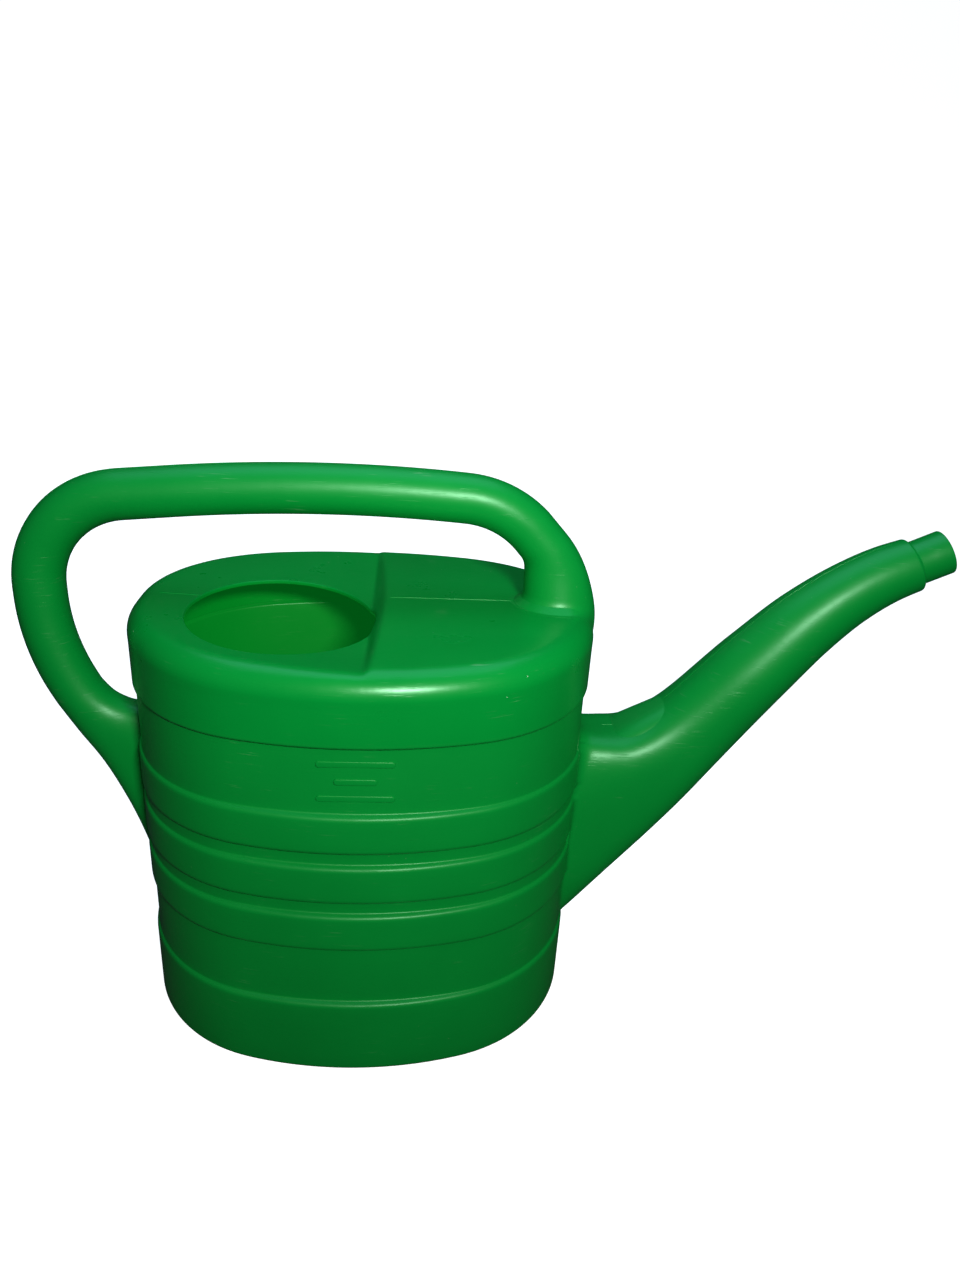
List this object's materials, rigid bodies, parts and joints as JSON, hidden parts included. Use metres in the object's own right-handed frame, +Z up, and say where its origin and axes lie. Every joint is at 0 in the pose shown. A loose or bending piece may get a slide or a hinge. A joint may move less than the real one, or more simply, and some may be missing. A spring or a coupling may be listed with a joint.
{
  "type": "watering can",
  "caption": "Hollow oval garden watering can with a ribbed tank, a loop handle over the top, a fill opening and a long rising spout with a push-on neck.",
  "frame": {"origin": "middle of the flat underside of the tank, on the ground", "axes": "+X along the can towards the spout, +Y across it, +Z up"},
  "size_m": [0.5374, 0.2104, 0.3299],
  "materials": {
    "can_plastic": "satin"
  },
  "bodies": {
    "root": {"tank_base": "can_plastic", "tank_wall": "can_plastic", "top_cover": "can_plastic", "handle": "can_plastic", "spout": "can_plastic", "spout_neck": "can_plastic", "level_marks": "can_plastic"}
  },
  "joints": []
}
